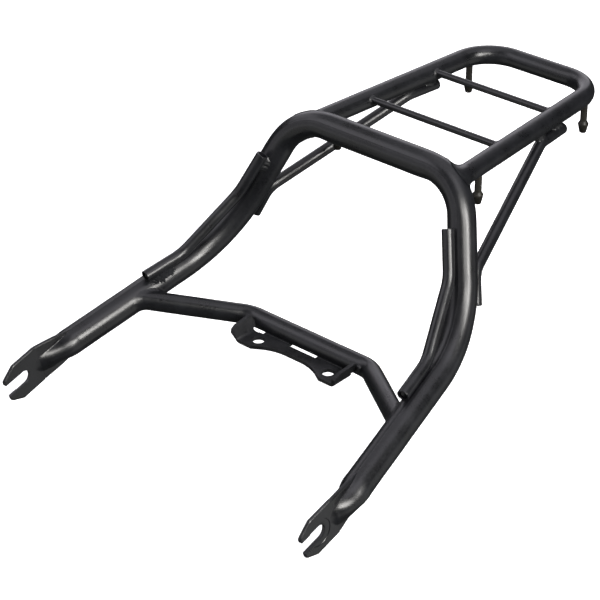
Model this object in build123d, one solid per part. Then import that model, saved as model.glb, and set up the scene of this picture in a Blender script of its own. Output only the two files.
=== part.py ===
from build123d import *
import os
from math import cos, radians, sin

os.makedirs("parts", exist_ok=True)

# Rear carrier of a small motorcycle: a bent and welded steel tube frame.
# +Y points to the rear of the bike, +Z up, and +X to the rider's left. The frame is a mirror
# image of itself about X = 0. The origin lies midway between the two bolt holes of the fender
# bracket, on the underside of its base plate. Sizes are in millimetres.

# ---- tube and bar stock ----
HOOP_OD = 22.2
HOOP_WALL = 1.6
LOOP_OD = 15.9
LOOP_WALL = 1.5
GUSSET_OD = 9.5
GUSSET_WALL = 1.2
STAY_DIA = 9.5
ROD_DIA = 5.8
VENT_DIA = 5.0

# ---- fork ends: the crushed tips of the hoop, slotted for the upper shock studs ----
# Lengths along the fork are counted from the centre of the slot's round end.
FORK_HALF_SPAN = 151.6
FORK_SLOT_Y = -144.0
FORK_SLOT_Z = -11.6
FORK_PITCH = 16.0
FORK_THICKNESS = 3.4
FORK_HALF_WIDTH = 17.5
FORK_TIP_REACH = 17.8
FORK_TIP_HALF_WIDTH = 10.6
FORK_TIP_RADIUS = 1.2
FORK_SHOULDER_REACH = 6.0
FORK_FLAT_LENGTH = 19.0
FLANGE_END_HALF_WIDTH = 10.4
TONGUE_TIP_REACH = 12.0
TONGUE_TIP_HALF_WIDTH = 5.5
TONGUE_MIDDLE_REACH = 28.0
TONGUE_MIDDLE_HALF_WIDTH = 8.8
TONGUE_MIDDLE_HALF_THICKNESS = 6.6
SLOT_WIDTH = 12.0
WASHER_SEAT_DIA = 22.0
WASHER_SEAT_DEPTH = 0.4

# ---- centre line of the hoop, +X half ----
LEG_ROOT = Vector(147.0, -94.0, 1.3)
LEG_BEND = Vector(122.5, 56.0, 42.0)
TOP_CORNER = Vector(81.0, 98.5, 147.8)
LEG_BEND_RADIUS = 94.0
TOP_CORNER_RADIUS = 42.0

# ---- rack loop ----
RAIL_Z = 141.2
RAIL_FRONT = Vector(74.2, 99.0, RAIL_Z)
RAIL_REAR = Vector(58.0, 313.0, RAIL_Z)
LOOP_CORNER_RADIUS = 33.0
ROD_FRONT_Y = 167.5
ROD_REAR_Y = 244.0
ROD_Z = 143.0

# ---- crossbar between the legs ----
CROSSBAR_LEG_Y = -38.8
CROSSBAR_LEG_RISE = 2.6
CROSSBAR_BEND = Vector(61.3, 19.5, 7.3)
CROSSBAR_BEND_RADIUS = 24.0
VENT_REACH = 25.0

# ---- fender bracket: a base plate with two ears folded up ----
PLATE = 3.0
BRACKET_HALF_WIDTH = 50.5
BRACKET_FRONT_Y = -10.4
BRACKET_REAR_Y = 9.3
EAR_FRONT_Y = -13.0
EAR_REAR_Y = 12.6
EAR_TOP_X = 56.0
EAR_TOP_Z = 15.5
# Side view of the bracket, as (Y, Z) from the front edge of the plate over the top of the ear.
EAR_PROFILE = [
    (BRACKET_FRONT_Y, -1.0),
    (BRACKET_FRONT_Y, 2.5),
    (EAR_FRONT_Y, 8.6),
    (-11.6, 11.2),
    (-7.4, 12.9),
    (9.0, 14.6),
    (EAR_REAR_Y, 9.0),
    (EAR_REAR_Y, -1.0),
]
FOLD_RADIUS = 5.5
SCALLOP_DEPTH = 10.0
SCALLOP_INNER_HALF_WIDTH = 19.0
SCALLOP_OUTER_HALF_WIDTH = 35.0
SCALLOP_RADIUS = 40.0
RELIEF_INNER_X = 43.5
RELIEF_Y = 8.6
RELIEF_TOP_Z = 5.0
BOLT_SPACING = 72.0
BOLT_HOLE_DIA = 10.0
TAB_INNER_X = 14.0
TAB_OUTER_X = 40.5
TAB_REAR_Y = 16.5
TAB_THICKNESS = 2.2
OVERCUT = 5.0

# ---- gusset tubes in the S bends of the hoop, and stays under the rails, +X side ----
GUSSET_POINTS = [
    Vector(131.4, -27.8, 36.2),
    Vector(124.7, 7.5, 44.8),
    Vector(106.2, 55.5, 87.6),
    Vector(93.3, 68.6, 120.1),
]
GUSSET_RADII = [31.0, 33.0]
STAY_POINTS = [
    Vector(113.2, 81.2, 57.0),
    Vector(104.9, 88.9, 79.7),
    Vector(67.8, 220.1, 127.5),
    Vector(64.5, 253.6, 127.3),
]
STAY_RADII = [17.0, 22.0]

# Weld metal bridges the last millimetre to the tube beside: a point in each, +X side.
WELD_DIA = 6.0
GUSSET_WELDS = [
    (Vector(130.9, -25.0, 36.9), Vector(135.0, -20.2, 21.3)),
    (Vector(129.2, -16.0, 39.1), Vector(133.4, -11.0, 23.8)),
    (Vector(96.7, 65.2, 111.6), Vector(97.7, 81.4, 105.3)),
    (Vector(94.4, 67.5, 117.4), Vector(95.4, 83.7, 111.0)),
]
STAY_WELDS = [
    (Vector(107.0, 87.1, 73.9), Vector(107.3, 71.6, 80.9)),
    (Vector(67.6, 222.3, 127.4), Vector(64.9, 222.0, 141.2)),
    (Vector(65.0, 248.0, 127.3), Vector(62.9, 247.6, 141.2)),
]

# ---- hook pegs ----
PEG_FRONT_Y = 134.6
PEG_REAR_Y = 292.0
PEG_INSET = 0.5
PEG_LENGTH = 33.0
PEG_SHANK_DIA = 5.7
PEG_TIP_DIA = 5.8
PEG_HEAD_DIA = 8.8
PEG_TAPER = 7.0
PEG_BAND = 1.0
PEG_BARB = 2.4


def mirrored(point):
    """The same point on the other side of the bike."""
    return Vector(-point.X, point.Y, point.Z)


def both_sides(points):
    """A centre line that runs from the +X side through the middle to the -X side."""
    return points + [mirrored(point) for point in reversed(points)]


def round_bar(points, radii, diameter):
    """A solid round bar along straight runs joined by bends."""
    path = FilletPolyline(points, radius=radii) if radii else Line(*points)
    start = Plane(origin=path @ 0, z_dir=path % 0)
    return sweep(start * Circle(diameter / 2), path=path)


def tube(points, radii, diameter, wall):
    """A round tube, open at both ends."""
    outside = round_bar(points, radii, diameter)
    return outside - round_bar(points, radii, diameter - 2 * wall)


def on_line(start, end, y):
    """The point of a straight line at a given Y."""
    return start + (end - start) * ((y - start.Y) / (end.Y - start.Y))


# ---- main hoop ----
hoop_line = both_sides([LEG_ROOT, LEG_BEND, TOP_CORNER])
hoop_radii = [LEG_BEND_RADIUS, TOP_CORNER_RADIUS, TOP_CORNER_RADIUS, LEG_BEND_RADIUS]
hoop_outside = round_bar(hoop_line, hoop_radii, HOOP_OD)
hoop_bore = round_bar(hoop_line, hoop_radii, HOOP_OD - 2 * HOOP_WALL)

slot_centre = Vector(FORK_HALF_SPAN, FORK_SLOT_Y, FORK_SLOT_Z)
fork_axis = Vector(0, cos(radians(FORK_PITCH)), sin(radians(FORK_PITCH)))
fork_plane = Plane(origin=slot_centre, x_dir=fork_axis, z_dir=(1, 0, 0))


def on_fork(along, across=0.0):
    """A point of the fork's middle plane: along it from the slot's centre, and up across it."""
    return fork_plane.from_local_coords((along, across, 0))


def fork_outline(points):
    """The face of a mirror-image outline, given as its upper points along and across the fork."""
    lower = [(along, -across) for along, across in reversed(points)]
    return make_face(Polyline(*points, *lower, close=True))


def fork_plate():
    """The flat, slotted tip, with chamfered shoulders and a seat for a washer."""
    outline = fork_outline([
        (FORK_FLAT_LENGTH, FORK_HALF_WIDTH),
        (-FORK_SHOULDER_REACH, FORK_HALF_WIDTH),
        (-FORK_TIP_REACH, FORK_TIP_HALF_WIDTH),
    ])
    front_corners = outline.vertices().sort_by(Axis.X)[:4]
    outline = fillet(front_corners, FORK_TIP_RADIUS)
    slot = Circle(SLOT_WIDTH / 2)
    slot += Pos(-FORK_TIP_REACH, 0) * Rectangle(2 * FORK_TIP_REACH, SLOT_WIDTH)
    plate = extrude(fork_plane * (outline - slot), FORK_THICKNESS / 2, both=True)
    outer_face = fork_plane.offset(FORK_THICKNESS / 2)
    seat = extrude(outer_face * Circle(WASHER_SEAT_DIA / 2), -WASHER_SEAT_DEPTH)
    return plate - seat


def fork_flanges():
    """The pinched edges of the tube, which narrow from the flat plate to the round leg."""
    bend = on_fork(FORK_FLAT_LENGTH)
    length = (LEG_ROOT - bend).length
    leg_side = Plane(origin=bend, x_dir=LEG_ROOT - bend, z_dir=fork_plane.z_dir)
    outline = fork_outline([(0, FORK_HALF_WIDTH), (length, FLANGE_END_HALF_WIDTH)])
    return extrude(leg_side * outline, FORK_THICKNESS / 2, both=True)


def fork_tongue():
    """The round of the tube, which dies away into the flat plate."""
    leg_axis = (LEG_BEND - LEG_ROOT).normalized()
    tip = Plane(origin=on_fork(TONGUE_TIP_REACH), x_dir=(1, 0, 0), z_dir=fork_axis)
    towards_root = LEG_ROOT - on_fork(FORK_FLAT_LENGTH)
    share = (TONGUE_MIDDLE_REACH - FORK_FLAT_LENGTH) / towards_root.length
    middle_centre = on_fork(FORK_FLAT_LENGTH) + towards_root * share
    middle = Plane(origin=middle_centre, x_dir=(1, 0, 0), z_dir=towards_root.normalized())
    round_end = Plane(origin=LEG_ROOT, x_dir=(1, 0, 0), z_dir=leg_axis)
    return loft([
        tip * Ellipse(FORK_THICKNESS / 2, TONGUE_TIP_HALF_WIDTH),
        middle * Ellipse(TONGUE_MIDDLE_HALF_THICKNESS, TONGUE_MIDDLE_HALF_WIDTH),
        round_end * Circle(HOOP_OD / 2),
    ])


fork_left = fork_tongue() + fork_flanges() + fork_plate()
fork_right = mirror(fork_left, about=Plane.YZ)

crossbar_end = on_line(LEG_ROOT, LEG_BEND, CROSSBAR_LEG_Y) + Vector(0, 0, CROSSBAR_LEG_RISE)
crossbar_line = both_sides([crossbar_end, CROSSBAR_BEND])
crossbar_radii = [CROSSBAR_BEND_RADIUS, CROSSBAR_BEND_RADIUS]

# Vent holes join the hoop's bore to the crossbar's, so that no air is trapped by the welds.
vent_direction = (CROSSBAR_BEND - crossbar_end).normalized()
vent_left = round_bar([crossbar_end, crossbar_end + vent_direction * VENT_REACH], [], VENT_DIA)
vent_right = mirror(vent_left, about=Plane.YZ)
main_hoop = hoop_outside + fork_left + fork_right - hoop_bore - vent_left - vent_right

# ---- rack loop, cross rods and crossbar, each coped to the tube that it meets ----
loop_line = both_sides([RAIL_FRONT, RAIL_REAR])
loop_radii = [LOOP_CORNER_RADIUS, LOOP_CORNER_RADIUS]
loop_outside = round_bar(loop_line, loop_radii, LOOP_OD)
rack_loop = tube(loop_line, loop_radii, LOOP_OD, LOOP_WALL) - hoop_outside
rack_loop = rack_loop.solids().sort_by(SortBy.VOLUME)[-1]


def cross_rod(y):
    """A straight rod from rail to rail."""
    end = on_line(RAIL_FRONT, RAIL_REAR, y)
    end = Vector(end.X, y, ROD_Z)
    return round_bar([end, mirrored(end)], [], ROD_DIA) - loop_outside


cross_rods = {
    "cross_rod_front": cross_rod(ROD_FRONT_Y),
    "cross_rod_rear": cross_rod(ROD_REAR_Y),
}

crossbar_outside = round_bar(crossbar_line, crossbar_radii, LOOP_OD)
crossbar_tube = tube(crossbar_line, crossbar_radii, LOOP_OD, LOOP_WALL) - hoop_outside
crossbar_tube = crossbar_tube.solids().sort_by(SortBy.VOLUME)[-1]


# ---- fender bracket ----
def bracket_fold():
    """The folded strip before its holes are cut: base plate and two ears leaning outwards."""
    underside = [
        (-EAR_TOP_X, EAR_TOP_Z),
        (-BRACKET_HALF_WIDTH, 0),
        (BRACKET_HALF_WIDTH, 0),
        (EAR_TOP_X, EAR_TOP_Z),
    ]
    lean = (EAR_TOP_X - BRACKET_HALF_WIDTH) / EAR_TOP_Z
    inner_half_width = BRACKET_HALF_WIDTH - PLATE * ((1 + lean**2) ** 0.5 - lean)
    inner_top_x = inner_half_width + (EAR_TOP_Z - PLATE) * lean
    topside = [
        (inner_top_x, EAR_TOP_Z),
        (inner_half_width, PLATE),
        (-inner_half_width, PLATE),
        (-inner_top_x, EAR_TOP_Z),
    ]
    section = make_face(Polyline(*underside, *topside, close=True))
    outer_bends = [v for v in section.vertices() if abs(v.Y) < 0.01]
    section = fillet(outer_bends, FOLD_RADIUS)
    inner_bends = [v for v in section.vertices() if abs(v.Y - PLATE) < 0.01]
    section = fillet(inner_bends, FOLD_RADIUS - PLATE)
    length = EAR_REAR_Y - EAR_FRONT_Y
    strip = extrude(Plane.XZ.offset(-EAR_REAR_Y) * section, length)
    side_view = Plane.YZ * make_face(Polyline(*EAR_PROFILE, close=True))
    return strip & extrude(side_view, EAR_TOP_X, both=True)


def scallop():
    """What is cut from the front edge between the two bolt lobes."""
    bottom_y = BRACKET_FRONT_Y + SCALLOP_DEPTH
    slope = (SCALLOP_OUTER_HALF_WIDTH - SCALLOP_INNER_HALF_WIDTH) / SCALLOP_DEPTH
    mouth_half_width = SCALLOP_OUTER_HALF_WIDTH + slope * OVERCUT
    outline = make_face(Polyline(
        (-mouth_half_width, BRACKET_FRONT_Y - OVERCUT),
        (-SCALLOP_INNER_HALF_WIDTH, bottom_y),
        (SCALLOP_INNER_HALF_WIDTH, bottom_y),
        (mouth_half_width, BRACKET_FRONT_Y - OVERCUT),
        close=True,
    ))
    inner_corners = outline.vertices().sort_by(Axis.Y)[-2:]
    return extrude(fillet(inner_corners, SCALLOP_RADIUS), EAR_TOP_Z, both=True)


def bracket_cutters():
    """Everything that is cut out of the folded strip."""
    cutters = [scallop()]
    for side in (-1, 1):
        hole = Pos(side * BOLT_SPACING / 2, 0, 0) * Cylinder(BOLT_HOLE_DIA / 2, 4 * PLATE)
        relief = Box(EAR_TOP_X, EAR_REAR_Y, 2 * RELIEF_TOP_Z, align=(Align.CENTER, Align.MIN, Align.CENTER))
        cutters.append(hole)
        cutters.append(Pos(side * (RELIEF_INNER_X + EAR_TOP_X / 2), RELIEF_Y, 0) * relief)
    rear_width = 2 * (BRACKET_HALF_WIDTH - FOLD_RADIUS)
    rear_depth = 2 * (EAR_REAR_Y - BRACKET_REAR_Y)
    cutters.append(Pos(0, EAR_REAR_Y, 0) * Box(rear_width, rear_depth, 4 * PLATE))
    return cutters


def welded_tab(side):
    """The narrow lip of the base plate that reaches the crossbar."""
    width = TAB_OUTER_X - TAB_INNER_X
    centre_x = side * (TAB_OUTER_X + TAB_INNER_X) / 2
    tab = Box(width, TAB_REAR_Y, TAB_THICKNESS, align=(Align.CENTER, Align.MIN, Align.MIN))
    return Pos(centre_x, BOLT_HOLE_DIA / 2 + 1, 0) * tab


fender_bracket = bracket_fold()
for cutter in bracket_cutters():
    fender_bracket -= cutter
fender_bracket += welded_tab(-1)
fender_bracket += welded_tab(1)
fender_bracket -= crossbar_outside
fender_bracket = fender_bracket.solids().sort_by(SortBy.VOLUME)[-1]

# ---- gusset tubes and stays ----
def with_welds(bar, welds):
    """A bar and the weld metal that joins it to the tubes beside it."""
    for ends in welds:
        bar += round_bar(ends, [], WELD_DIA)
    return bar - hoop_outside - loop_outside


gusset_bore = round_bar(GUSSET_POINTS, GUSSET_RADII, GUSSET_OD - 2 * GUSSET_WALL)
gusset_left = with_welds(round_bar(GUSSET_POINTS, GUSSET_RADII, GUSSET_OD), GUSSET_WELDS)
gusset_left = (gusset_left - gusset_bore).solids().sort_by(SortBy.VOLUME)[-1]
stay_left = with_welds(round_bar(STAY_POINTS, STAY_RADII, STAY_DIA), STAY_WELDS)
stay_left = stay_left.solids().sort_by(SortBy.VOLUME)[-1]


# ---- hook pegs ----
def hook_peg(y):
    """A turned pin under the rail, with a barbed head that keeps a hook or a cord on it."""
    rail = on_line(RAIL_FRONT, RAIL_REAR, y)
    root_z = RAIL_Z - LOOP_OD / 4
    tip_z = RAIL_Z - PEG_LENGTH
    widest_z = tip_z + PEG_TAPER
    profile = Polyline(
        (0, tip_z),
        (PEG_TIP_DIA / 2, tip_z),
        (PEG_HEAD_DIA / 2, widest_z),
        (PEG_HEAD_DIA / 2, widest_z + PEG_BAND),
        (PEG_SHANK_DIA / 2, widest_z + PEG_BAND + PEG_BARB),
        (PEG_SHANK_DIA / 2, root_z),
        (0, root_z),
        close=True,
    )
    peg = revolve(Plane.XZ * make_face(profile), Axis.Z)
    return Pos(rail.X - PEG_INSET, y, 0) * peg - loop_outside


pegs = {
    "hook_peg_front_left": hook_peg(PEG_FRONT_Y),
    "hook_peg_rear_left": hook_peg(PEG_REAR_Y),
}

# ---- write every node ----
nodes = {
    "main_hoop": main_hoop,
    "rack_loop": rack_loop,
    "crossbar_tube": crossbar_tube,
    "fender_bracket": fender_bracket,
    "gusset_tube_left": gusset_left,
    "gusset_tube_right": mirror(gusset_left, about=Plane.YZ),
    "stay_left": stay_left,
    "stay_right": mirror(stay_left, about=Plane.YZ),
}
nodes.update(cross_rods)
for name, peg in pegs.items():
    nodes[name] = peg
    nodes[name.replace("left", "right")] = mirror(peg, about=Plane.YZ)

for name, shape in nodes.items():
    solids = shape.solids()
    print(name, len(solids), "solid", round(sum(s.volume for s in solids)), "mm3")
    export_step(Compound(children=solids), f"parts/{name}.step")
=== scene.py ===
import bmesh
import bpy
import numpy as np
from math import cos, pi, radians, sin
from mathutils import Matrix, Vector, noise


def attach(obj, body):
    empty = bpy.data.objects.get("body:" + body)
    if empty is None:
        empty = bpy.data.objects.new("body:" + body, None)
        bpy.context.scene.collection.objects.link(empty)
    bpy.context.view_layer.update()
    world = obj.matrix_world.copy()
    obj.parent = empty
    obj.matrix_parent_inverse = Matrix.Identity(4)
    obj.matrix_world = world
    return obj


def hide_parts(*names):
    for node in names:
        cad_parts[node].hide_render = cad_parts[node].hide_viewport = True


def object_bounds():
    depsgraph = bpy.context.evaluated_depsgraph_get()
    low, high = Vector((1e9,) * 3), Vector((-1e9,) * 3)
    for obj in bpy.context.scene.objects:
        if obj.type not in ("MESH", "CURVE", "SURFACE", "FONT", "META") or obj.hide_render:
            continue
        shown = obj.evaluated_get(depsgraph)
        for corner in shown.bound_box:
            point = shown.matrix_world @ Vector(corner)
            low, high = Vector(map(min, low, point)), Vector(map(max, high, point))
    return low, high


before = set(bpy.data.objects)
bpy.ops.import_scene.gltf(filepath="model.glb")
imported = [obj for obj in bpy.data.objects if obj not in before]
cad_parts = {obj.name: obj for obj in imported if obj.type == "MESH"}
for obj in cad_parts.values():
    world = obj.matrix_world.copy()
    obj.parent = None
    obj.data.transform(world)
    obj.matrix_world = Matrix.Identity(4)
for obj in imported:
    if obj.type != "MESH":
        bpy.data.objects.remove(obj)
cad_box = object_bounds()

# Sizes are in millimetres and in the frame of the part; MM turns them into metres.
MM = 0.001

# ---- camera: places in metres, angles in degrees, the lens in millimetres ----
CAMERA_AIM = Vector((-0.02200, 0.03333, 0.03006))
CAMERA_DISTANCE = 1.68957
CAMERA_AZIMUTH = 41.486
CAMERA_ELEVATION = 30.284
CAMERA_LENS = 129.37

# ---- tube stock ----
HOOP_R = 11.1
LOOP_R = 7.95
GUSSET_R = 4.75
GUSSET_WALL = 1.2
STAY_R = 4.75
ROD_R = 2.9
HOOP_SEGMENTS = 180
LOOP_SEGMENTS = 64
BAR_SEGMENTS = 48
ROD_SEGMENTS = 40
# How strongly bends flatten each tube, and how far its skin waves in and out.
HOOP_OVAL = 2.0
LOOP_OVAL = 1.2
CROSSBAR_OVAL = 1.4
GUSSET_OVAL = 0.8
HOOP_WOBBLE = 0.07
TUBE_WOBBLE = 0.05
ROD_WOBBLE = 0.04
# Distances between rings along each tube, and along the centre lines that welds follow.
HOOP_STEP = 2.2
LOOP_STEP = 2.0
CROSSBAR_STEP = 1.6
BAR_STEP = 1.5
HOOP_LINE_STEP = 0.8
BAR_LINE_STEP = 1.0

# ---- centre lines, +X half ----
LEG_ROOT = (147.0, -94.0, 1.3)
LEG_BEND = (122.5, 56.0, 42.0)
TOP_CORNER = (81.0, 98.5, 147.8)
LEG_BEND_RADIUS = 94.0
TOP_CORNER_RADIUS = 42.0
RAIL_Z = 141.2
RAIL_FRONT = (74.2, 99.0, RAIL_Z)
RAIL_REAR = (58.0, 313.0, RAIL_Z)
LOOP_CORNER_RADIUS = 33.0
ROD_FRONT_Y = 167.5
ROD_REAR_Y = 244.0
ROD_Z = 143.0
ROD_END_INSET = 2.0
ROD_WELD_OUTSET = 1.0
CROSSBAR_LEG_Y = -38.8
CROSSBAR_LEG_RISE = 2.6
CROSSBAR_BEND = (61.3, 19.5, 7.3)
CROSSBAR_BEND_RADIUS = 24.0
GUSSET_POINTS = [(131.4, -27.8, 36.2), (124.7, 7.5, 44.8), (106.2, 55.5, 87.6), (93.3, 68.6, 120.1)]
GUSSET_RADII = [31.0, 33.0]
GUSSET_OPEN_EDGE = 0.3
STAY_POINTS = [(113.2, 81.2, 57.0), (104.9, 88.9, 79.7), (67.8, 220.1, 127.5), (64.5, 253.6, 127.3)]
STAY_RADII = [17.0, 22.0]
STAY_EDGE = 0.6

# ---- fork ends: distances along the fork are counted from the centre of the slot's round end ----
FORK_CENTRE = (151.6, -144.0, -11.6)
FORK_PITCH = 16.0
FORK_FLAT_LENGTH = 18.0
FORK_TIP_REACH = 17.8
LOWER_TIP_REACH = 16.8
FORK_ROUND_FROM = 52.0
FORK_COARSE_FROM = -15.2
FORK_COARSE_STEP = 1.2
FORK_FINE_FROM = 11.6
FORK_FINE_STEP = 0.6
FORK_SETTLING_RINGS = 12
TIP_RADIUS = 1.1
TIP_CLEARANCE = 0.5
FORK_HALF_THICKNESS = 1.7
SLOT_RADIUS = 6.0
SLOT_MOUTH_FLARE = 1.03
SLOT_CUT_LENGTH = 30.0
SLOT_CUT_DEPTH = 9.0
WASHER_SEAT_RADIUS = 11.0
WASHER_SEAT_DEPTH = 0.5
SEAT_EDGE = 0.3
# Tables of (distance along the fork, value). The tongue is the round of the crushed tube: it has a half
# width and a height, and a section that is a circle's at roundness 0.5 and a parabola's at 1. It reaches
# further down the plate than up it, and it is higher on the outer side than on the inner one.
FORK_HALF_WIDTH = [
    (-17.8, 10.6), (-6.4, 17.2), (-5.6, 17.6), (16, 17.6), (20, 17.0), (28, 15.9), (36, 14.7), (44, 12.9),
    (50, 11.4), (52, 11.1),
]
TONGUE_HALF_WIDTH = [
    (12, 0.0), (12.8, 3.2), (14.2, 5.4), (17, 6.8), (25, 7.4), (36, 8.6), (42, 9.8), (48, 10.9), (52, 11.1),
]
TONGUE_HEIGHT = [
    (12, 0.0), (14, 0.4), (17, 1.5), (21, 3.2), (25, 4.9), (36, 7.9), (42, 9.4), (48, 10.8), (52, 11.1),
]
TONGUE_ROUNDNESS = [(12, 1.1), (25, 1.0), (36, 0.8), (46, 0.54), (52, 0.5)]
TONGUE_LOW_EXTRA = [(12, 1.0), (14, 2.5), (20, 5.0), (27, 7.5), (36, 4.0), (46, 0.5), (52, 0.0)]
TONGUE_LOW_ROUNDNESS = [(12, 1.5), (25, 1.2), (36, 0.85), (46, 0.55), (52, 0.5)]
TONGUE_OUTER_SHIFT = [(12, 1.5), (28, 1.8), (40, 0.5), (46, 0.0)]
TONGUE_OUTER_GAIN = [(12, 1.0), (18, 1.35), (30, 1.28), (42, 1.08), (50, 1.0)]
TONGUE_INNER_GAIN = [(12, 0.75), (25, 0.82), (36, 0.94), (44, 1.0)]
INNER_SKIRT_SHARE = 0.3
CREST_SHARE = 0.2
TONGUE_BLEND = 2.5
PLATE_SHARE = [(42, 1.0), (52, 0.0)]
FORK_EDGE = 0.3

# ---- bracket: edges, strip welds under the crossbar, and blobs on the ears ----
BRACKET_EDGE = 0.35
TAB_TOP_Z = 2.2
STRIP_INNER_X = 14.5
STRIP_OUTER_X = 40.0
STRIP_WIDTH = 2.0
STRIP_STEP = 0.5
EAR_WELD_SPOT = (56.6, 12.6, 9.6)
EAR_WELD_SIZE = (2.7, 2.3, 2.6)

# ---- pegs ----
PEG_SPOTS = {"front": 134.6, "rear": 292.0}
PEG_INSET = 0.5
PEG_LENGTH = 33.0
PEG_SHANK_R = 2.85
# Height above the tip, and radius, of the turned profile.
PEG_PROFILE = [
    (0.0, 0.3), (0.0, 2.3), (0.15, 2.65), (0.5, 2.9), (6.5, 4.2), (6.9, 4.38), (7.5, 4.42), (8.1, 4.3),
    (8.5, 4.1), (10.0, 3.05), (10.5, 2.88), (11.2, PEG_SHANK_R), (27.0, PEG_SHANK_R),
]


# ---- geometry helpers ----
TINY = 1e-6
RING_START = (0.3, 0.2, 1.0)
WOBBLE_SCALE = 0.045
SHARP_ANGLE = 38.0
WELD_SHARP_ANGLE = 60.0
LUMP_SHARP_ANGLE = 80.0


def array(points):
    return np.array(points, float)


def unit(v):
    return v / np.linalg.norm(v)


def mirrored(points):
    return array(points) * (-1, 1, 1)


def circle(count):
    """Angles all round, evenly spaced."""
    return [2 * pi * k / count for k in range(count)]


def table(rows, x):
    """A value read from a table of (x, value), with straight runs between the rows."""
    xs, values = zip(*rows)
    return float(np.interp(x, xs, values))


def softened(rows, x):
    """The same with the corners between the runs blended over a short distance."""
    shifts = np.linspace(-TONGUE_BLEND, TONGUE_BLEND, 9)
    return float(np.mean([table(rows, x + shift) for shift in shifts]))


def route(points, radii, step):
    """Points along a centre line of straight runs joined by bends."""
    points = array(points)
    line = [points[0]]
    for i, radius in enumerate(radii, start=1):
        into = unit(points[i] - points[i - 1])
        out = unit(points[i + 1] - points[i])
        turn = np.arccos(np.clip(into @ out, -1, 1))
        cut = radius * np.tan(turn / 2)
        first = points[i] - into * cut
        normal = unit(out - (into @ out) * into)
        centre = first + normal * radius
        line += straight(line[-1], first, step)
        count = max(4, int(radius * turn / step))
        for k in range(1, count + 1):
            a = turn * k / count
            line.append(centre - normal * radius * cos(a) + into * radius * sin(a))
    return array(line + straight(line[-1], points[-1], step))


def straight(start, end, step):
    count = max(1, int(np.linalg.norm(end - start) / step))
    return [start + (end - start) * k / count for k in range(1, count + 1)]


def directions(line):
    ahead = np.gradient(line, axis=0)
    return ahead / np.linalg.norm(ahead, axis=1)[:, None]


def side_vectors(tangents, first):
    """A normal at each point of a line, carried along it without twist."""
    normals = []
    n = array(first)
    for t in tangents:
        n = unit(n - (n @ t) * t)
        normals.append(n)
    return array(normals)


def bend_vectors(line):
    """The curvature of a line at each point, in 1/mm, smoothed over the ends of the bends."""
    tangents = directions(line)
    lengths = np.linalg.norm(np.gradient(line, axis=0), axis=1)
    bend = np.gradient(tangents, axis=0) / lengths[:, None]
    kernel = np.hanning(9) / np.hanning(9).sum()
    padded = np.pad(bend, ((4, 4), (0, 0)), mode="edge")
    return array([np.convolve(padded[:, k], kernel, mode="valid") for k in range(3)]).T


def grain(point, scale, seed):
    """Smooth noise from -1 to 1 at a point in mm."""
    return noise.noise(Vector(point) * scale + Vector((seed, seed * 1.7, -seed)))


def tube_rings(line, radius, segments, oval=0.0, wobble=0.0, seed=1.0):
    """Rings of a tube about a line; bends flatten it by oval times the curvature."""
    tangents = directions(line)
    u = side_vectors(tangents, RING_START)
    v = np.cross(tangents, u)
    bend = bend_vectors(line)
    rings = []
    for i, centre in enumerate(line):
        ring = []
        strength = np.linalg.norm(bend[i])
        for a in circle(segments):
            out = u[i] * cos(a) + v[i] * sin(a)
            r = radius
            if oval and strength > TINY:
                along = (out @ bend[i]) / strength
                r *= 1 + oval * strength * (0.5 - 1.5 * along**2)
            if wobble:
                r += wobble * grain(centre + out * radius, WOBBLE_SCALE, seed)
            ring.append(centre + out * r)
        rings.append(array(ring))
    return rings


def shrunk(ring, centre, by):
    out = ring - centre
    return centre + out * (1 - by / np.linalg.norm(out, axis=1))[:, None]


def rounded_end(ring, centre, tangent, edge):
    """Rings that turn the rim of a bar's end over, from the side to the flat face."""
    found = []
    for a in (0.0, 30.0, 60.0, 90.0):
        moved = shrunk(ring, centre, edge * (1 - cos(radians(a))))
        found.append(moved + tangent * edge * sin(radians(a)))
    return found


def bar_rings(line, radius, segments, edge=0.5, **options):
    """Rings of a solid bar with softened rims at both ends."""
    rings = tube_rings(line, radius, segments, **options)
    tangents = directions(line)
    head = rounded_end(rings[0], line[0], -tangents[0], edge)[::-1]
    tail = rounded_end(rings[-1], line[-1], tangents[-1], edge)
    return head + rings[1:-1] + tail


def open_tube_rings(line, radius, wall, segments, edge, **options):
    """Rings of an open tube: outside, over the rim, back through the bore, and over the other rim."""
    outside = bar_rings(line, radius, segments, edge, **options)
    bore = tube_rings(line, radius - wall, segments, **options)
    tangents = directions(line)
    bore[0] = bore[0] - tangents[0] * edge
    bore[-1] = bore[-1] + tangents[-1] * edge
    return outside + bore[::-1]


def make_piece(name, vertices, faces, material, slot="frame_paint", sharp=SHARP_ANGLE):
    """A mesh that rides with the part. Its vertices are given in mm."""
    mesh = bpy.data.meshes.new(name)
    mesh.from_pydata([tuple(p) for p in array(vertices) * MM], [], faces)
    mesh.validate()
    made = bpy.data.objects.new(name, mesh)
    bpy.context.scene.collection.objects.link(made)
    finish_mesh(mesh, sharp)
    if material:
        mesh.materials.append(material)
    if slot:
        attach(made, "root")
    return made


def finish_mesh(mesh, sharp=SHARP_ANGLE):
    """Outward normals, smooth shading, and sharp edges only where the surface breaks."""
    work = bmesh.new()
    work.from_mesh(mesh)
    bmesh.ops.recalc_face_normals(work, faces=work.faces)
    work.to_mesh(mesh)
    work.free()
    mesh.shade_smooth()
    mesh.set_sharp_from_angle(angle=radians(sharp))


def bridge(rings, loop):
    """Vertices and faces of a skin over rings; the ends are closed unless the rings form a loop."""
    count = len(rings[0])
    vertices = np.concatenate(rings)
    faces = []
    spans = len(rings) if loop else len(rings) - 1
    for i in range(spans):
        a = i * count
        b = ((i + 1) % len(rings)) * count
        for k in range(count):
            m = (k + 1) % count
            faces.append((a + k, a + m, b + m, b + k))
    if not loop:
        faces.append(tuple(range(count))[::-1])
        faces.append(tuple(range(len(vertices) - count, len(vertices))))
    return vertices, faces


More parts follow.
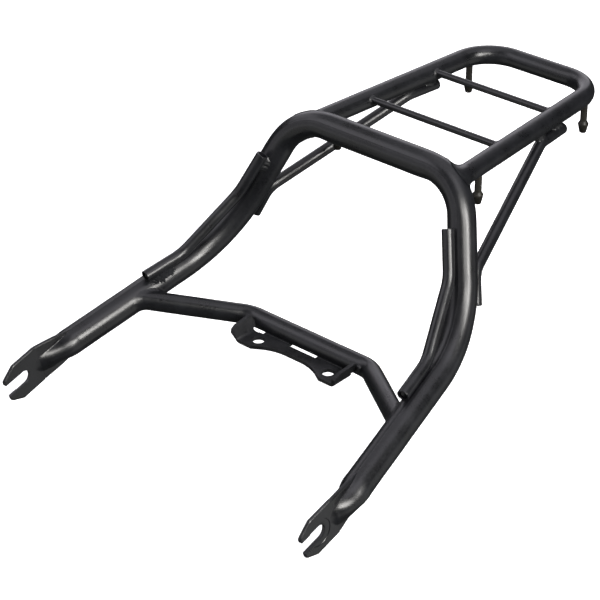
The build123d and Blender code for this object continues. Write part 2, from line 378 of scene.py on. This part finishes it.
def ring_piece(name, rings, material, loop=False, **options):
    vertices, faces = bridge(rings, loop)
    return make_piece(name, vertices, faces, material, **options)


def cut(target, cutter):
    """Takes the cutter's solid out of the target's mesh for good."""
    change = target.modifiers.new("cut", "BOOLEAN")
    change.operation = "DIFFERENCE"
    change.solver = "EXACT"
    change.object = cutter
    bake(target)
    bpy.data.objects.remove(cutter)


def soften_edges(target, width, angle):
    """Rounds off the edges that turn by more than an angle in degrees."""
    soft = target.modifiers.new("soft", "BEVEL")
    soft.limit_method = "ANGLE"
    soft.angle_limit = radians(angle)
    soft.width = width * MM
    soft.segments = 2


def bake(target):
    """Replaces an object's mesh by the result of its modifiers."""
    graph = bpy.context.evaluated_depsgraph_get()
    result = bpy.data.meshes.new_from_object(target.evaluated_get(graph))
    target.modifiers.clear()
    target.data = result


# ---- materials ----
# Noise scales are per metre, and bump heights are in metres.
CLOUD_SCALE = 48.0
SPECK_SCALE = 520.0
FINE_PEEL_SCALE = 950.0
BROAD_PEEL_SCALE = 160.0
FINE_PEEL_HEIGHT = 0.000025
BROAD_PEEL_HEIGHT = 0.00007
PEEL_STRENGTH = 0.5
CLOUD_GLOSS = 0.035
SPECK_GLOSS = 0.03
PAINT_IOR = 1.5


def satin_paint(name, dark, light, roughness, mottle=0.5, peel=1.0, grit=0.0, specular=0.5):
    """Sprayed satin paint: slightly uneven colour and gloss over an orange-peel surface."""
    material = bpy.data.materials.new(name)
    material.use_nodes = True
    nodes = material.node_tree.nodes
    links = material.node_tree.links
    shader = nodes["Principled BSDF"]
    place = nodes.new("ShaderNodeTexCoord").outputs["Object"]

    def texture(scale, detail, rough=0.55):
        made = nodes.new("ShaderNodeTexNoise")
        made.inputs["Scale"].default_value = scale
        made.inputs["Detail"].default_value = detail
        made.inputs["Roughness"].default_value = rough
        links.new(place, made.inputs["Vector"])
        return made.outputs["Fac"]

    def mapped(source, low, high):
        made = nodes.new("ShaderNodeMapRange")
        made.inputs["From Min"].default_value = 0.3
        made.inputs["From Max"].default_value = 0.7
        made.inputs["To Min"].default_value = low
        made.inputs["To Max"].default_value = high
        links.new(source, made.inputs["Value"])
        return made.outputs["Result"]

    def bump(scale, detail, height):
        made = nodes.new("ShaderNodeBump")
        made.inputs["Strength"].default_value = PEEL_STRENGTH
        made.inputs["Distance"].default_value = height * peel
        links.new(texture(scale, detail), made.inputs["Height"])
        return made

    cloud = texture(CLOUD_SCALE, 5.0)
    speck = texture(SPECK_SCALE, 3.0, 0.7)
    tone = nodes.new("ShaderNodeValToRGB")
    tone.color_ramp.elements[0].position = 0.5 - 0.32 * mottle
    tone.color_ramp.elements[0].color = (*dark, 1)
    tone.color_ramp.elements[1].position = 0.5 + 0.32 * mottle
    tone.color_ramp.elements[1].color = (*light, 1)
    mixed = nodes.new("ShaderNodeMath")
    mixed.operation = "MULTIPLY_ADD"
    links.new(mapped(speck, -0.12, 0.12), mixed.inputs[0])
    links.new(mapped(speck, 0.6, 1.4), mixed.inputs[1])
    links.new(cloud, mixed.inputs[2])
    links.new(mixed.outputs[0], tone.inputs["Fac"])
    links.new(tone.outputs["Color"], shader.inputs["Base Color"])
    gloss = nodes.new("ShaderNodeMath")
    gloss.operation = "ADD"
    links.new(mapped(cloud, roughness - CLOUD_GLOSS, roughness + CLOUD_GLOSS), gloss.inputs[0])
    links.new(mapped(speck, -SPECK_GLOSS - grit, SPECK_GLOSS + grit), gloss.inputs[1])
    links.new(gloss.outputs[0], shader.inputs["Roughness"])

    fine = bump(FINE_PEEL_SCALE, 3.0, FINE_PEEL_HEIGHT)
    broad = bump(BROAD_PEEL_SCALE, 2.0, BROAD_PEEL_HEIGHT)
    links.new(fine.outputs["Normal"], broad.inputs["Normal"])
    links.new(broad.outputs["Normal"], shader.inputs["Normal"])
    shader.inputs["IOR"].default_value = PAINT_IOR
    shader.inputs["Specular IOR Level"].default_value = specular
    return material


FRAME_PAINT = satin_paint(
    "frame_paint", dark=(0.0045, 0.0048, 0.0058), light=(0.0095, 0.0100, 0.0120), roughness=0.31)
WELD_PAINT = satin_paint(
    "weld_paint", dark=(0.0045, 0.0048, 0.0056), light=(0.0120, 0.0126, 0.0145), roughness=0.42,
    mottle=0.9, peel=2.2, grit=0.05)
ROUGH_WELD_PAINT = satin_paint(
    "rough_weld_paint", dark=(0.005, 0.0055, 0.006), light=(0.020, 0.021, 0.024), roughness=0.36,
    mottle=0.9, peel=5.0, grit=0.08, specular=0.14)
BRACKET_PAINT = satin_paint(
    "bracket_paint", dark=(0.0035, 0.0038, 0.0042), light=(0.0150, 0.0155, 0.0175), roughness=0.44,
    mottle=0.6, peel=3.0, grit=0.08, specular=0.28)
PEG_PAINT = satin_paint(
    "peg_paint", dark=(0.007, 0.0062, 0.0050), light=(0.020, 0.018, 0.0145), roughness=0.46,
    mottle=0.8, peel=1.5, grit=0.06, specular=0.3)


# ---- main hoop with its crushed fork ends ----
fork_origin = array(FORK_CENTRE)
fork_axis = array((0, cos(radians(FORK_PITCH)), sin(radians(FORK_PITCH))))
fork_up = array((0, -sin(radians(FORK_PITCH)), cos(radians(FORK_PITCH))))


def on_fork(along, across=0.0, out=0.0):
    return fork_origin + fork_axis * along + fork_up * across + array((out, 0, 0))


ROOT_ALONG = float((array(LEG_ROOT) - fork_origin) @ fork_axis)


def fork_centre_line(along):
    """The middle of the fork's section: straight on the flat, then straight to the root of the leg."""
    share = max(0.0, (along - FORK_FLAT_LENGTH) / (ROOT_ALONG - FORK_FLAT_LENGTH))
    return on_fork(min(along, FORK_FLAT_LENGTH)) * (1 - share) + array(LEG_ROOT) * share


def tip_rounding(along, reach):
    """How much a rounded corner takes off the half width near the tip."""
    into = along + reach
    if into >= TIP_RADIUS:
        return 0.0
    return TIP_RADIUS - (TIP_RADIUS**2 - (TIP_RADIUS - into) ** 2) ** 0.5


def fork_section(along):
    """Half thickness and height across, round the section of the crushed tube."""
    width = table(FORK_HALF_WIDTH, along)
    half = FORK_HALF_THICKNESS * softened(PLATE_SHARE, along)
    tongue = softened(TONGUE_HALF_WIDTH, along)
    height = softened(TONGUE_HEIGHT, along)
    roundness = softened(TONGUE_ROUNDNESS, along)
    low_roundness = softened(TONGUE_LOW_ROUNDNESS, along)
    extra = softened(TONGUE_LOW_EXTRA, along)
    outer_gain = softened(TONGUE_OUTER_GAIN, along)
    inner_gain = softened(TONGUE_INNER_GAIN, along)
    shift = softened(TONGUE_OUTER_SHIFT, along)
    upper = width - tip_rounding(along, FORK_TIP_REACH)
    if along > -LOWER_TIP_REACH:
        lower = width - tip_rounding(along, LOWER_TIP_REACH)
    else:
        # The lower prong is the shorter one: past its tip only metal that the slot takes away is left.
        lower = SLOT_RADIUS - TIP_CLEARANCE
    section = []
    for a in circle(HOOP_SEGMENTS):
        across = cos(a) * (upper if cos(a) > 0 else lower)
        edge = (upper if across > 0 else lower) - abs(across)
        x = 0.0
        if half > 0.01:
            x = half if edge >= half else (half**2 - (half - edge) ** 2) ** 0.5
        outer = sin(a) >= 0
        middle = shift if outer else 0.0
        skirt = extra if outer else extra * INNER_SKIRT_SHARE
        crest = -CREST_SHARE * skirt
        place = across - middle
        reach = tongue - crest if place > crest else tongue + skirt + crest
        if tongue and abs(place - crest) < reach:
            power = roundness if place > crest else low_roundness
            gain = outer_gain if outer else inner_gain
            x += height * gain * (1 - ((place - crest) / reach) ** 2) ** power
        section.append((x if outer else -x, across))
    return section


def hoop_half_rings():
    """Rings from the +X fork tip to the middle of the top bar, slightly flattened in the bends."""
    fork_stations = list(np.linspace(-FORK_TIP_REACH, -FORK_TIP_REACH + TIP_RADIUS, 9))
    fork_stations += list(np.arange(FORK_COARSE_FROM, FORK_FINE_FROM, FORK_COARSE_STEP))
    fork_stations += list(np.arange(FORK_FINE_FROM, FORK_ROUND_FROM, FORK_FINE_STEP))
    stations = [a for a in fork_stations if a < ROOT_ALONG - 0.2]
    centres = [fork_centre_line(a) for a in stations]
    leg = route(
        [LEG_ROOT, LEG_BEND, TOP_CORNER, (0.0, TOP_CORNER[1], TOP_CORNER[2])],
        [LEG_BEND_RADIUS, TOP_CORNER_RADIUS], HOOP_STEP,
    )
    line = np.concatenate([array(centres), leg])
    tangents = directions(line)
    tangents[-1] = array((-1, 0, 0))
    sideways = side_vectors(tangents, (1, 0, 0))
    upwards = np.cross(sideways, tangents)
    bend = bend_vectors(line)
    rings = []
    for i, centre in enumerate(line):
        if i < len(stations):
            along = stations[i]
        else:
            walked = float(np.linalg.norm(centre - array(LEG_ROOT)))
            along = min(FORK_ROUND_FROM, ROOT_ALONG + walked)
        ring = []
        past_fork = i > len(stations) + FORK_SETTLING_RINGS
        strength = np.linalg.norm(bend[i]) if past_fork else 0.0
        for x, across in fork_section(along):
            out = sideways[i] * x + upwards[i] * across
            if strength > TINY:
                towards = (out @ bend[i]) / strength / HOOP_R
                out = out * (1 + HOOP_OVAL * strength * (0.45 - 1.5 * towards**2))
            size = np.linalg.norm(out)
            if size > TINY:
                out = out * (1 + HOOP_WOBBLE * grain(centre + out, 0.05, 3.0) / size)
            ring.append(centre + out)
        rings.append(array(ring))
    rings[-1][:, 0] = 0.0
    return rings


def slot_cutter(side):
    """A bar of the slot's section: round inner end, open at the tip of the fork."""
    mouth = SLOT_RADIUS * SLOT_MOUTH_FLARE
    outline = [(-SLOT_CUT_LENGTH, mouth), (-SLOT_CUT_LENGTH, -mouth)]
    for a in np.linspace(-pi / 2, pi / 2, 33):
        outline.append((SLOT_RADIUS * cos(a), SLOT_RADIUS * sin(a)))
    rings = []
    for out in (-SLOT_CUT_DEPTH, SLOT_CUT_DEPTH):
        rings.append(array([on_fork(along, across, out) * (side, 1, 1) for along, across in outline]))
    return ring_piece("cutter", rings, None, slot=None)


def seat_cutter(side):
    """A flat disc that sinks the washer seat into the outer face."""
    rings = []
    for inset, out in ((SEAT_EDGE, 0.0), (0.0, SEAT_EDGE), (0.0, 6.0)):
        r = WASHER_SEAT_RADIUS - inset
        height = FORK_HALF_THICKNESS - WASHER_SEAT_DEPTH + out
        rings.append(array([on_fork(r * cos(a), r * sin(a), height) * (side, 1, 1) for a in circle(72)]))
    return ring_piece("cutter", rings, None, slot=None)


half_rings = hoop_half_rings()
other_half = [mirrored(ring) for ring in reversed(half_rings[:-1])]
hoop = ring_piece("hoop_tube", half_rings + other_half, FRAME_PAINT)
for side in (1, -1):
    cut(hoop, seat_cutter(side))
    cut(hoop, slot_cutter(side))
soften_edges(hoop, FORK_EDGE, 52)
bake(hoop)
finish_mesh(hoop.data)
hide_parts("main_hoop")
hoop_line = route(
    [LEG_ROOT, LEG_BEND, TOP_CORNER, mirrored(TOP_CORNER), mirrored(LEG_BEND), mirrored(LEG_ROOT)],
    [LEG_BEND_RADIUS, TOP_CORNER_RADIUS, TOP_CORNER_RADIUS, LEG_BEND_RADIUS], HOOP_LINE_STEP,
)

# ---- rack loop, crossbar, rods ----
loop_line = route(
    [RAIL_FRONT, RAIL_REAR, mirrored(RAIL_REAR), mirrored(RAIL_FRONT)], [LOOP_CORNER_RADIUS] * 2, LOOP_STEP)
loop_rings = bar_rings(loop_line, LOOP_R, LOOP_SEGMENTS, oval=LOOP_OVAL, wobble=TUBE_WOBBLE, seed=5.0)
loop = ring_piece("rack_loop_tube", loop_rings, FRAME_PAINT)
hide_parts("rack_loop")


def on_line(start, end, y):
    """The point of a straight line at a given Y."""
    return array(start) + (array(end) - array(start)) * ((y - start[1]) / (end[1] - start[1]))


def rail_x(y):
    return on_line(RAIL_FRONT, RAIL_REAR, y)[0]


CROSSBAR_END = on_line(LEG_ROOT, LEG_BEND, CROSSBAR_LEG_Y) + (0, 0, CROSSBAR_LEG_RISE)
crossbar_line = route(
    [CROSSBAR_END, CROSSBAR_BEND, mirrored(CROSSBAR_BEND), mirrored(CROSSBAR_END)],
    [CROSSBAR_BEND_RADIUS] * 2, CROSSBAR_STEP)
crossbar_rings = bar_rings(
    crossbar_line, LOOP_R, LOOP_SEGMENTS, oval=CROSSBAR_OVAL, wobble=TUBE_WOBBLE, seed=7.0)
crossbar = ring_piece("crossbar_bent_tube", crossbar_rings, FRAME_PAINT)
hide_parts("crossbar_tube")

for name, y in (("front", ROD_FRONT_Y), ("rear", ROD_REAR_Y)):
    x = rail_x(y) - ROD_END_INSET
    rod_line = route([(x, y, ROD_Z), (-x, y, ROD_Z)], [], BAR_STEP)
    rod_rings = bar_rings(rod_line, ROD_R, ROD_SEGMENTS, wobble=ROD_WOBBLE, seed=y)
    rod = ring_piece(f"rod_{name}", rod_rings, FRAME_PAINT)
    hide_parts(f"cross_rod_{name}")


# ---- gusset tubes, stays and pegs ----
def peg_rings(x, y):
    """Rings of a turned peg that hangs under the rail."""
    rings = []
    for height, radius in PEG_PROFILE:
        z = RAIL_Z - PEG_LENGTH + height
        rings.append(array([(x + radius * cos(a), y + radius * sin(a), z) for a in circle(ROD_SEGMENTS)]))
    return rings


for side_name, side in (("left", 1), ("right", -1)):
    flip = array((side, 1, 1))
    gusset_line = route(array(GUSSET_POINTS) * flip, GUSSET_RADII, BAR_STEP)
    gusset_rings = open_tube_rings(
        gusset_line, GUSSET_R, GUSSET_WALL, BAR_SEGMENTS, GUSSET_OPEN_EDGE, oval=GUSSET_OVAL)
    gusset = ring_piece(f"gusset_{side_name}", gusset_rings, FRAME_PAINT, loop=True)
    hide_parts(f"gusset_tube_{side_name}")
    stay_line = route(array(STAY_POINTS) * flip, STAY_RADII, BAR_STEP)
    stay_rings = bar_rings(stay_line, STAY_R, BAR_SEGMENTS, edge=STAY_EDGE, wobble=TUBE_WOBBLE, seed=9.0)
    stay = ring_piece(f"stay_bar_{side_name}", stay_rings, FRAME_PAINT)
    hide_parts(f"stay_{side_name}")
    for end, y in PEG_SPOTS.items():
        rings = peg_rings(side * (rail_x(y) - PEG_INSET), y)
        peg = ring_piece(f"peg_{end}_{side_name}", rings, PEG_PAINT, slot="peg_paint")
        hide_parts(f"hook_peg_{end}_{side_name}")

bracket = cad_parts["fender_bracket"]
bracket.data.materials.clear()
bracket.data.materials.append(BRACKET_PAINT)
joined = bracket.modifiers.new("joined", "WELD")
joined.merge_threshold = 0.01 * MM
soften_edges(bracket, BRACKET_EDGE, 40)


# ---- welds ----
JOINT_SEARCH_AHEAD = 34.0
JOINT_SEARCH_BACK = 14.0
FILLET_EDGE_SINK = 0.06
FILLET_DEPTH = 1.2
RIPPLE_HEIGHT = 0.10
RIPPLE_LENGTH = 2.2
GROOVE_EDGE_SINK = 0.05
GROOVE_STEP = 0.5


def closest(line, point):
    return line[np.argmin(((line - point) ** 2).sum(axis=1))]


def on_surface(line, radius, point):
    """A point brought to the surface of a tube about a line, and the way out there."""
    middle = closest(line, point)
    out = unit(point - middle)
    return middle + out * radius, out


def joint_curve(main, main_radius, start, ahead, radius, count):
    """Where the skin of a straight branch leaves the skin of the main tube: points and ways out."""
    u = unit(np.cross(ahead, (0.31, 0.23, 1.0)))
    v = np.cross(ahead, u)
    found = []
    for a in circle(count):
        out = u * cos(a) + v * sin(a)
        base = start + out * radius

        def depth(t):
            point = base + ahead * t
            return main_radius - np.linalg.norm(closest(main, point) - point)

        high = JOINT_SEARCH_AHEAD
        while high > -JOINT_SEARCH_BACK and depth(high) < 0:
            high -= 1.0
        low, high = high, high + 1.0
        for _ in range(14):
            middle = (low + high) / 2
            low, high = (middle, high) if depth(middle) > 0 else (low, middle)
        found.append((base + ahead * low, out))
    return found


def bead_rings(stations, pits=0.0, seed=1.0):
    """Rings of a weld: a curve from edge to edge over each station, closed inside the metal."""
    rings = []
    for first, crown, last, inside in stations:
        ring = []
        for t in np.linspace(0, 1, 15):
            point = (1 - t) ** 2 * first + 2 * t * (1 - t) * crown + t**2 * last
            ring.append(point + unit(crown - inside) * pits * sin(pi * t) * (0.4 + grain(point, 0.75, seed)))
        rings.append(array(ring + [inside]))
    return rings


def fillet_weld(
    name, main, main_radius, start, ahead, radius, width, crown, lump, seed, count=144, material=WELD_PAINT,
):
    """The weld round a branch tube where it meets the main tube."""
    curve = joint_curve(main, main_radius, array(start), unit(array(ahead)), radius, count)
    along = unit(array(ahead))
    stations = []
    for k, (point, out) in enumerate(curve):
        skin, main_out = on_surface(main, main_radius, point)
        course = curve[(k + 1) % count][0] - curve[k - 1][0]
        away = unit(np.cross(main_out, course))
        away = away * (1 if away @ out > 0 else -1)
        rough = grain(point, 0.55, seed) * lump
        ripple = RIPPLE_HEIGHT * abs(sin(pi * k * np.linalg.norm(course) / 2 / RIPPLE_LENGTH))
        reach = width * (1 + rough)
        first = on_surface(main, main_radius - FILLET_EDGE_SINK, skin + away * reach)[0]
        last = point + along * reach - out * FILLET_EDGE_SINK
        middle = unit(main_out + out)
        top = point + middle * (crown * (1 + rough) + ripple + 0.35 * lump * grain(point, 1.3, seed + 4))
        stations.append((first, top, last, point - middle * FILLET_DEPTH))
    return ring_piece(name, bead_rings(stations), material, loop=True, sharp=WELD_SHARP_ANGLE)


def groove_weld(
    name, thin, thin_radius, main, main_radius, side, start, length, climb, crown, rough, seed,
    material=WELD_PAINT, spread=0.55, pits=0.1,
):
    """A weld in the groove between two tubes that lie side by side. side points out of the groove."""
    steps = np.linalg.norm(np.diff(thin, axis=0), axis=1)
    walked = np.concatenate([[0], np.cumsum(steps)])
    tangents = directions(thin)
    count = max(16, int(length / GROOVE_STEP))
    stations = []
    for k in range(count + 1):
        share = k / count
        at = start + length * share
        centre = array([np.interp(at, walked, thin[:, j]) for j in range(3)])
        tangent = tangents[min(len(thin) - 1, int(np.searchsorted(walked, at)))]
        middle = closest(main, centre)
        down = unit(middle - centre)
        out = unit(np.cross(tangent, down))
        out = out * (1 if out @ array(side) > 0 else -1)
        swell = max(0.12, sin(pi * share) ** 0.45)
        swell *= 1 + rough * grain(centre + out * 3, 0.45, seed)
        a = radians(climb * swell)
        b = radians(climb * spread * swell)
        first = centre + (thin_radius - GROOVE_EDGE_SINK) * (down * cos(a) + out * sin(a))
        last = middle + (main_radius - GROOVE_EDGE_SINK) * (out * sin(b) - down * cos(b))
        bottom = centre + down * (thin_radius + 0.4)
        top = bottom + out * (crown * swell + 0.8 * rough * grain(centre, 0.9, seed + 2))
        stations.append((first, top, last, bottom - out * 1.0))
    return ring_piece(name, bead_rings(stations, pits, seed), material, sharp=WELD_SHARP_ANGLE)


def weld_lump(name, centre, size, seed, rough=0.22):
    """A single blob of weld metal."""
    work = bmesh.new()
    bmesh.ops.create_icosphere(work, subdivisions=4, radius=1.0)
    vertices = []
    for vertex in work.verts:
        out = array(vertex.co)
        swell = 1 + rough * grain(out * 3, 0.45, seed) + 0.4 * rough * grain(out * 3, 1.2, seed + 3)
        vertices.append(array(centre) + out * array(size) * swell)
    faces = [[vertex.index for vertex in face.verts] for face in work.faces]
    work.free()
    return make_piece(name, vertices, faces, WELD_PAINT, sharp=LUMP_SHARP_ANGLE)


# How wide, proud and rough each kind of weld is; lengths in mm, climbs in degrees.
RAIL_FILLET = dict(width=10.5, crown=0.5, lump=0.10, seed=11.0, material=FRAME_PAINT)
CROSSBAR_FILLET = dict(width=5.4, crown=0.15, lump=0.18, seed=13.0, material=FRAME_PAINT)
ROD_FILLET = dict(width=1.5, crown=0.5, lump=0.45, count=72)
PEG_FILLET = dict(width=1.0, crown=0.3, lump=0.4, count=64)
GUSSET_LOW_GROOVE = dict(
    length=27.0, climb=86, crown=4.0, rough=0.15, seed=17.0, material=ROUGH_WELD_PAINT, spread=0.86, pits=1.2)
GUSSET_HIGH_GROOVE = dict(length=15.5, climb=70, crown=2.4, rough=0.4, seed=19.0)
STAY_HOOP_GROOVE = dict(length=16.0, climb=62, crown=2.0, rough=0.3)
STAY_RAIL_GROOVE = dict(length=14.5, climb=66, crown=2.0, rough=0.35)
STAY_RAIL_FRONT_GROOVE = dict(length=12.0, climb=60, crown=1.8, rough=0.3)
# Where the groove welds start, from the lower or front end of the bar, or back from its other end.
GUSSET_LOW_START = 0.3
GUSSET_HIGH_BACK = 16.0
STAY_HOOP_START = 10.0
STAY_RAIL_BACK = 16.0
STAY_RAIL_FRONT_BACK = 40.0


def line_length(line):
    return float(np.linalg.norm(np.diff(line, axis=0), axis=1).sum())


def fillet_welds(side_name, side):
    """The welds round the ends of the rails, crossbar, rods and pegs on one side."""
    flip = array((side, 1, 1))
    rail_start = array(RAIL_FRONT) * flip
    rail_ahead = unit(array(RAIL_REAR) * flip - rail_start)
    fillet_weld(
        f"weld_rail_{side_name}", hoop_line, HOOP_R, rail_start, rail_ahead, LOOP_R, **RAIL_FILLET)
    bar_start = CROSSBAR_END * flip
    bar_ahead = unit(array(CROSSBAR_BEND) * flip - bar_start)
    fillet_weld(
        f"weld_crossbar_{side_name}", hoop_line, HOOP_R, bar_start, bar_ahead, LOOP_R, **CROSSBAR_FILLET)
    for place, y in (("front", ROD_FRONT_Y), ("rear", ROD_REAR_Y)):
        start = (side * (rail_x(y) + ROD_WELD_OUTSET), y, ROD_Z)
        fillet_weld(
            f"weld_rod_{place}_{side_name}", loop_line, LOOP_R, start, (-side, 0, 0), ROD_R, seed=y + side,
            **ROD_FILLET)
    for place, y in PEG_SPOTS.items():
        start = (side * (rail_x(y) - PEG_INSET), y, RAIL_Z)
        fillet_weld(
            f"weld_peg_{place}_{side_name}", loop_line, LOOP_R, start, (0, 0, -1), PEG_SHANK_R, seed=y + side,
            **PEG_FILLET)


def groove_welds(side_name, side):
    """The welds along the gusset and the stay of one side."""
    flip = array((side, 1, 1))
    gusset_line = route(array(GUSSET_POINTS) * flip, GUSSET_RADII, BAR_LINE_STEP)
    gusset_on_hoop = (gusset_line, GUSSET_R, hoop_line, HOOP_R, (-side, 0, 0))
    groove_weld(f"weld_gusset_low_{side_name}", *gusset_on_hoop, start=GUSSET_LOW_START, **GUSSET_LOW_GROOVE)
    groove_weld(
        f"weld_gusset_high_{side_name}", *gusset_on_hoop, start=line_length(gusset_line) - GUSSET_HIGH_BACK,
        **GUSSET_HIGH_GROOVE)
    stay_line = route(array(STAY_POINTS) * flip, STAY_RADII, BAR_LINE_STEP)
    stay_length = line_length(stay_line)
    for face_name, face in (("in", -side), ("out", side)):
        stay_on_hoop = (stay_line, STAY_R, hoop_line, HOOP_R, (face, 0, 0))
        stay_on_rail = (stay_line, STAY_R, loop_line, LOOP_R, (face, 0, 0))
        groove_weld(
            f"weld_stay_hoop_{face_name}_{side_name}", *stay_on_hoop, start=STAY_HOOP_START, seed=23.0 + face,
            **STAY_HOOP_GROOVE)
        groove_weld(
            f"weld_stay_rail_{face_name}_{side_name}", *stay_on_rail, start=stay_length - STAY_RAIL_BACK,
            seed=29.0 + face, **STAY_RAIL_GROOVE)
        groove_weld(
            f"weld_stay_rail_front_{face_name}_{side_name}", *stay_on_rail,
            start=stay_length - STAY_RAIL_FRONT_BACK, seed=31.0 + face, **STAY_RAIL_FRONT_GROOVE)


for side_name, side in (("left", 1), ("right", -1)):
    fillet_welds(side_name, side)
    groove_welds(side_name, side)


# ---- welds of the bracket's tabs and ears, and the weld metal in the gussets' ends ----
def strip_weld(name, side):
    """The fillet between a tab's upper face and the crossbar above it."""
    bar_y, bar_z = CROSSBAR_BEND[1:]
    drop = bar_z - TAB_TOP_Z
    sunk = LOOP_R - GROOVE_EDGE_SINK
    stations = []
    for x in np.arange(STRIP_INNER_X, STRIP_OUTER_X + STRIP_STEP / 2, STRIP_STEP):
        rough = 1 + 0.35 * grain((x, 0, 0), 0.5, 37.0 + side)
        corner = array((side * x, bar_y - (LOOP_R**2 - drop**2) ** 0.5, TAB_TOP_Z))
        turned = np.arcsin(drop / LOOP_R) - STRIP_WIDTH * rough / LOOP_R
        first = corner + array((0, -STRIP_WIDTH * rough, -GROOVE_EDGE_SINK))
        last = array((side * x, bar_y - sunk * cos(turned), bar_z - sunk * sin(turned)))
        crown = corner + array((0, -0.7, 0.4)) * rough
        stations.append((first, crown, last, corner + array((0, 1.0, -1.0))))
    ring_piece(name, bead_rings(stations), ROUGH_WELD_PAINT, sharp=WELD_SHARP_ANGLE)


def gusset_filling(name, side):
    """Weld metal that stops the gusset's bore a little way in from its lower end."""
    bore = GUSSET_R - GUSSET_WALL
    into = unit(array(GUSSET_POINTS[1]) - array(GUSSET_POINTS[0]))
    centre = array(GUSSET_POINTS[0]) + into * (bore + 0.4)
    size = bore + 0.15
    weld_lump(name, centre * (side, 1, 1), (size, size, size), 47.0, rough=0.05)


for side_name, side in (("left", 1), ("right", -1)):
    strip_weld(f"weld_strip_{side_name}", side)
    weld_lump(f"weld_ear_{side_name}", array(EAR_WELD_SPOT) * (side, 1, 1), EAR_WELD_SIZE, 43.0)
    gusset_filling(f"weld_filling_{side_name}", side)


# ---- studio, in metres ----
FLOOR_SIZE = 40
FLOOR_GAP = 0.0005


def make_floor(z):
    """A plain white floor that only the camera sees, so that it doesn't brighten the undersides."""
    bpy.ops.mesh.primitive_plane_add(size=FLOOR_SIZE, location=(0, 0, z))
    floor = bpy.context.object
    floor.name = "floor"
    material = bpy.data.materials.new("floor")
    material.use_nodes = True
    shader = material.node_tree.nodes["Principled BSDF"]
    shader.inputs["Base Color"].default_value = (0.9, 0.9, 0.9, 1)
    shader.inputs["Roughness"].default_value = 0.9
    shader.inputs["Emission Color"].default_value = (1, 1, 1, 1)
    shader.inputs["Emission Strength"].default_value = 0.9
    floor.data.materials.append(material)
    floor.visible_diffuse = False
    floor.visible_glossy = False
    floor.visible_shadow = False


def direction(azimuth, elevation):
    """Unit vector towards a place seen from the part: azimuth 0 is the front, 90 the +X side."""
    a, e = radians(azimuth), radians(elevation)
    return Vector((sin(a) * cos(e), -cos(a) * cos(e), sin(e)))


WARM = (1.0, 0.98, 0.95)
COOL = (0.99, 0.96, 1.04)
NEUTRAL = (1.0, 1.0, 0.97)
LIGHT_AIM = Vector((0.0, 0.08, 0.07))
LIGHT_DISTANCE = 2.0
# Name, azimuth and elevation in degrees, width and height, watts, colour.
SOFTBOXES = [
    ("key", 85, 27, (0.6, 0.9), 42.0, WARM),
    ("front", 60, 36, (0.6, 0.6), 18.0, WARM),
    ("high_right", 90, 68, (1.0, 1.0), 3.5, COOL),
    ("above", 180, 75, (2.4, 2.4), 14.0, COOL),
    ("fill", 0, 25, (1.0, 1.0), 2.0, COOL),
    ("left_front", -40, 18, (2.0, 1.6), 6.0, COOL),
    ("left_front_high", -50, 45, (1.0, 1.0), 5.0, COOL),
    ("left", -90, 35, (1.0, 1.0), 4.0, COOL),
    ("back_low", -139, 20, (2.0, 1.0), 9.0, COOL),
    ("bounce_right", 115, -22, (2.0, 2.0), 6.5, NEUTRAL),
    ("bounce_front", -25, -22, (2.0, 2.0), 6.0, NEUTRAL),
]
SURROUNDINGS = (0.95, 1.0, 0.97)
SURROUNDINGS_STRENGTH = 0.05


def softbox(name, azimuth, elevation, size, power, colour):
    data = bpy.data.lights.new(name, "AREA")
    data.shape = "RECTANGLE"
    data.size, data.size_y = size
    data.energy = power
    data.color = colour
    light = bpy.data.objects.new(name, data)
    back = direction(azimuth, elevation)
    light.location = LIGHT_AIM + back * LIGHT_DISTANCE
    light.rotation_mode = "QUATERNION"
    light.rotation_quaternion = (-back).to_track_quat("-Z", "Y")
    bpy.context.scene.collection.objects.link(light)


def make_world(strength, colour):
    """Dim surroundings for the part, and plain white behind it for the camera."""
    world = bpy.data.worlds.new("world")
    bpy.context.scene.world = world
    world.use_nodes = True
    nodes = world.node_tree.nodes
    links = world.node_tree.links
    dim = nodes["Background"]
    dim.inputs["Color"].default_value = (*colour, 1)
    dim.inputs["Strength"].default_value = strength
    white = nodes.new("ShaderNodeBackground")
    white.inputs["Color"].default_value = (1, 1, 1, 1)
    white.inputs["Strength"].default_value = 1.2
    choice = nodes.new("ShaderNodeMixShader")
    links.new(nodes.new("ShaderNodeLightPath").outputs["Is Camera Ray"], choice.inputs["Fac"])
    links.new(dim.outputs["Background"], choice.inputs[1])
    links.new(white.outputs["Background"], choice.inputs[2])
    links.new(choice.outputs["Shader"], nodes["World Output"].inputs["Surface"])


def make_camera():
    back = direction(CAMERA_AZIMUTH, CAMERA_ELEVATION)
    data = bpy.data.cameras.new("camera")
    data.lens = CAMERA_LENS
    data.sensor_width = 36
    data.clip_start = 0.05
    data.clip_end = 60
    camera = bpy.data.objects.new("camera", data)
    camera.location = CAMERA_AIM + back * CAMERA_DISTANCE
    camera.rotation_mode = "QUATERNION"
    camera.rotation_quaternion = (-back).to_track_quat("-Z", "Y")
    bpy.context.scene.collection.objects.link(camera)
    bpy.context.scene.camera = camera


make_floor(cad_box[0].z - FLOOR_GAP)
for softbox_values in SOFTBOXES:
    softbox(*softbox_values)
make_world(SURROUNDINGS_STRENGTH, SURROUNDINGS)
bpy.context.scene.view_settings.view_transform = "Standard"
make_camera()
